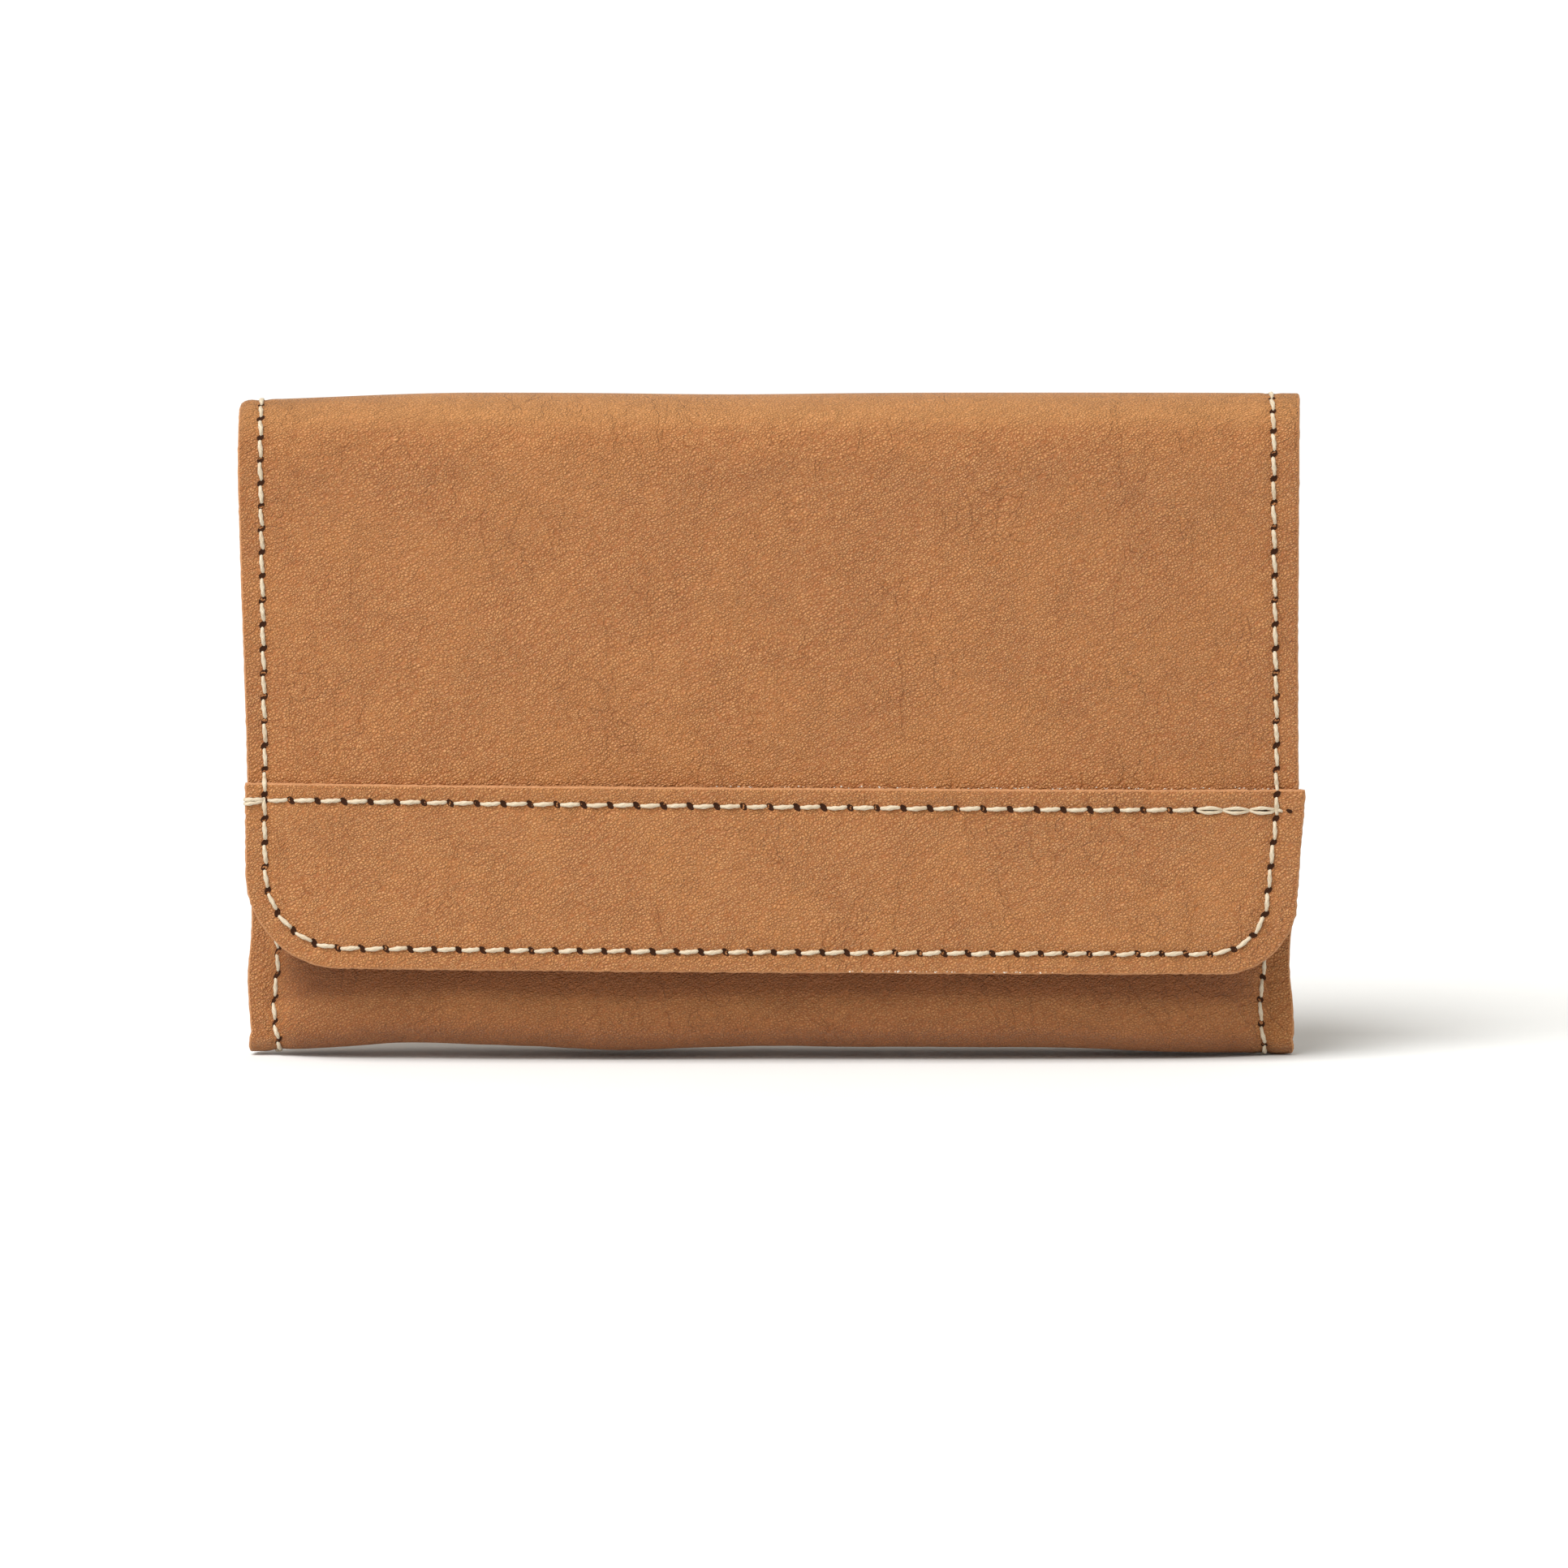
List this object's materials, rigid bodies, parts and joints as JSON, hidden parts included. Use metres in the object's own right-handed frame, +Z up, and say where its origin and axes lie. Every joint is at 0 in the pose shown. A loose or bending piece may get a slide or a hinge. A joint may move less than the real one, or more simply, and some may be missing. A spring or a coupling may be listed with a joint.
{
  "type": "long wallet",
  "caption": "Long leather wallet with a fold-over flap and a stitched band, zipped coin pocket, card slots and a hidden magnetic snap.",
  "frame": {"origin": "middle of the flat base that the wallet stands on", "axes": "+X along the width to the right, +Y from the flap's side to the back, +Z up to the top fold"},
  "size_m": [0.1904, 0.0277, 0.1191],
  "materials": {
    "tan_leather": "pebbled full grain, low sheen",
    "band_leather": "pebbled full grain, low sheen, raw cut edges",
    "suede": "matte flesh side",
    "inner_leather": "smooth, matte",
    "card_slot_leather": "smooth, matte",
    "cream_thread": "twisted waxed thread",
    "zip_tape": "woven",
    "brass": "satin",
    "nickel": "satin"
  },
  "bodies": {
    "root": {"outer_shell": "tan_leather", "back_lining": "inner_leather", "card_slot_left_1": "card_slot_leather", "card_slot_left_2": "card_slot_leather", "card_slot_left_3": "card_slot_leather", "card_slot_right_1": "card_slot_leather", "card_slot_right_2": "card_slot_leather", "card_slot_right_3": "card_slot_leather", "coin_pocket": "inner_leather", "zip_tape_front": "zip_tape", "zip_tape_rear": "zip_tape", "zip_chain": "brass", "zip_stop_open": "brass", "zip_stop_closed": "brass", "snap_socket": "nickel", "snap_socket_washer": "nickel", "front_seam_thread_left": "cream_thread", "front_seam_thread_right": "cream_thread", "back_seam_thread_left": "cream_thread", "back_seam_thread_right": "cream_thread"},
    "flap_fold": {"fold_leather": "tan_leather", "fold_lining": "suede", "fold_thread_left": "cream_thread", "fold_thread_right": "cream_thread"},
    "flap": {"flap_panel": "tan_leather", "flap_band": "band_leather", "flap_lining": "suede", "snap_stud": "nickel", "snap_stud_washer": "nickel", "flap_edge_thread": "cream_thread", "band_seam_thread": "cream_thread"},
    "zip_slider": {"zip_slider": "brass", "zip_slider_base": "brass"},
    "zip_puller": {"zip_puller": "nickel"}
  },
  "joints": [
    {"name": "flap_open", "type": "hinge", "parent": "root", "child": "flap_fold", "pos_m": [0, 0.00669, 0.11528], "axis": [-1, 0, 0], "range_deg": [0, 90]},
    {"name": "flap_unroll", "type": "hinge", "parent": "flap_fold", "child": "flap", "pos_m": [0, -0.01009, 0.11528], "axis": [-1, 0, 0], "range_deg": [0, 90]},
    {"name": "zip_slide", "type": "slide", "parent": "root", "child": "zip_slider", "axis": [-1, 0, 0], "range_m": [0, 0.124]},
    {"name": "zip_pull", "type": "hinge", "parent": "zip_slider", "child": "zip_puller", "pos_m": [0.062, -0.00166, 0.0918], "axis": [0, 1, 0], "range_deg": [0, 165]}
  ],
  "couplings": [
    {"joint": "flap_unroll", "follows": "flap_open", "ratio": 1}
  ]
}
